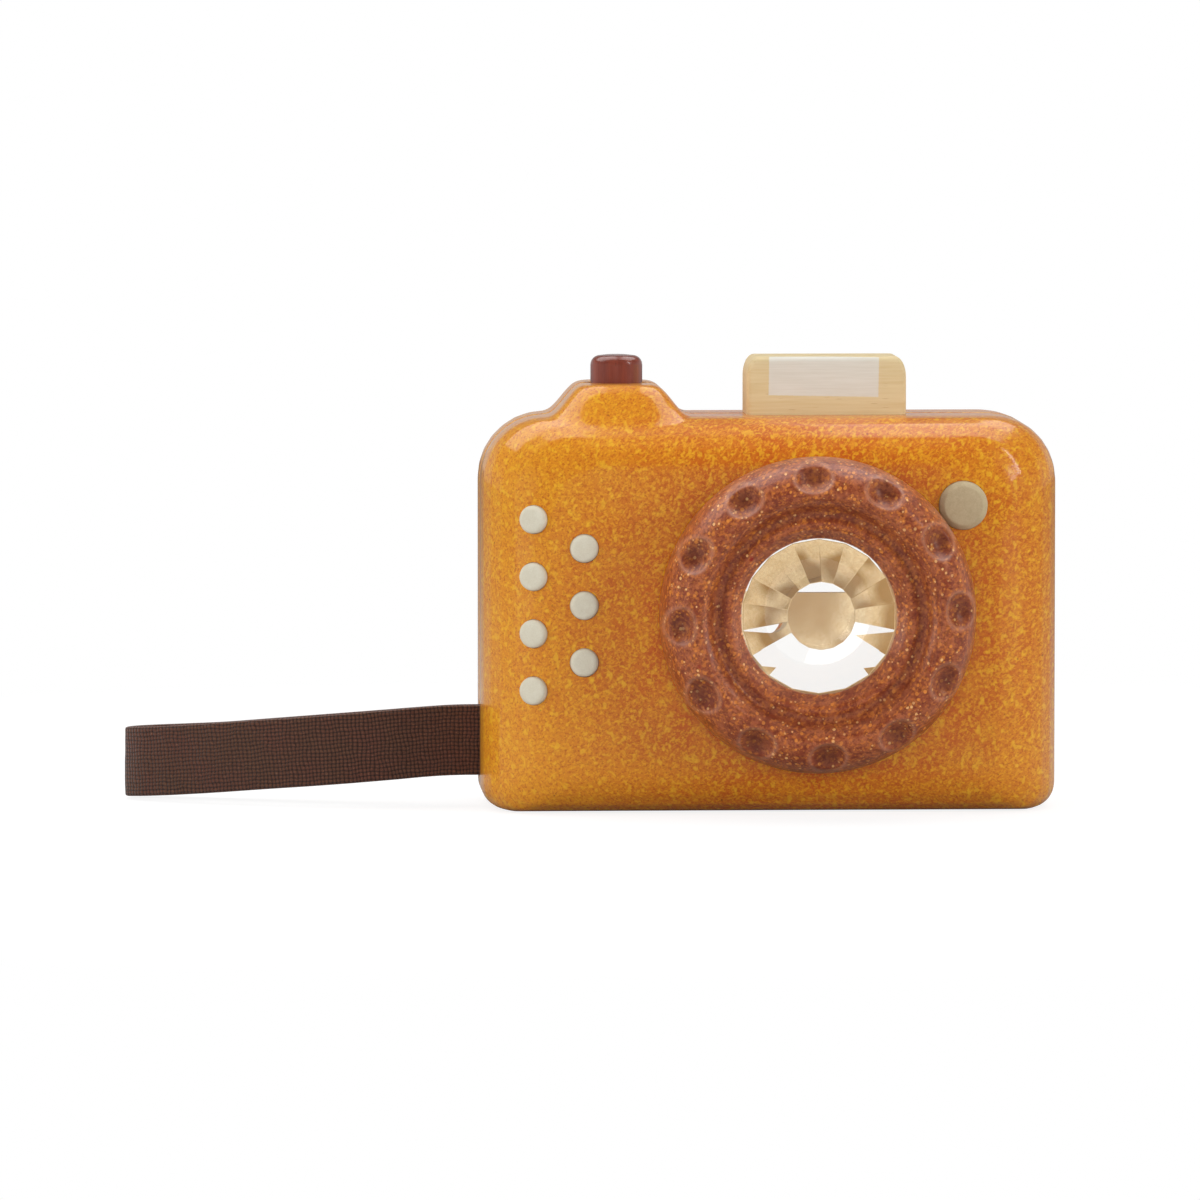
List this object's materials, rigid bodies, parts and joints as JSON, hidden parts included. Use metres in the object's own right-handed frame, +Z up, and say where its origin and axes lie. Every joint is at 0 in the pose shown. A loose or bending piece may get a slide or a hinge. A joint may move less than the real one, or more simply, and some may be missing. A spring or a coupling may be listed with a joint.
{
  "type": "toy camera",
  "caption": "Pretend-play camera with a rounded two-part body, turning dimpled lens ring with faceted lens, sprung shutter button, flash block, grip dots and wrist strap.",
  "frame": {"origin": "middle of the base under the body, on the surface that the camera stands on, without the strap", "axes": "+X to the viewer's right along the body's width, -Y out of the lens towards the viewer, +Z up"},
  "size_m": [0.1574, 0.059, 0.0765],
  "materials": {
    "body_composite": "moulded sawdust composite, mustard with fine flecks, glossy lacquer",
    "ring_composite": "moulded sawdust composite, reddish brown with orange flecks, satin lacquer",
    "natural_wood": "turned rubberwood, bare",
    "dark_wood": "turned wood, dark brown stain, glossy",
    "flash_wood": "sanded rubberwood with a white painted panel",
    "cream_pegs": "cream paint, satin",
    "grey_peg": "grey-beige stain, satin",
    "clear_lens": "clear moulded acrylic, polished",
    "steel": "plain wire and screws",
    "webbing": "brown cotton webbing, plain weave"
  },
  "bodies": {
    "body": {"front_shell": "body_composite", "rear_shell": "body_composite", "alignment_dowels": "natural_wood", "view_barrel": "natural_wood", "spring_shelf": "natural_wood", "flash_block": "flash_wood", "flash_dowels": "natural_wood", "grip_dots": "cream_pegs", "sensor_dot": "grey_peg", "strap_anchor": "natural_wood", "wrist_strap": "webbing"},
    "lens": {"lens_ring": "ring_composite", "faceted_lens": "clear_lens", "lens_sleeve": "natural_wood", "sleeve_keeper": "natural_wood", "keeper_screws": "steel"},
    "shutter": {"shutter_button": "dark_wood", "button_collar": "natural_wood", "button_screw": "steel", "return_spring": "steel"}
  },
  "joints": [
    {"name": "lens_turn", "type": "hinge", "parent": "body", "child": "lens", "pos_m": [0.007, -0.0169, 0.03395], "axis": [0, -1, 0], "continuous": true},
    {"name": "shutter_press", "type": "slide", "parent": "body", "child": "shutter", "axis": [0, 0, -1], "range_m": [0, 0.003], "stiffness_N_per_m": 300, "springref_m": -0.002, "deforming": ["return_spring"]}
  ]
}
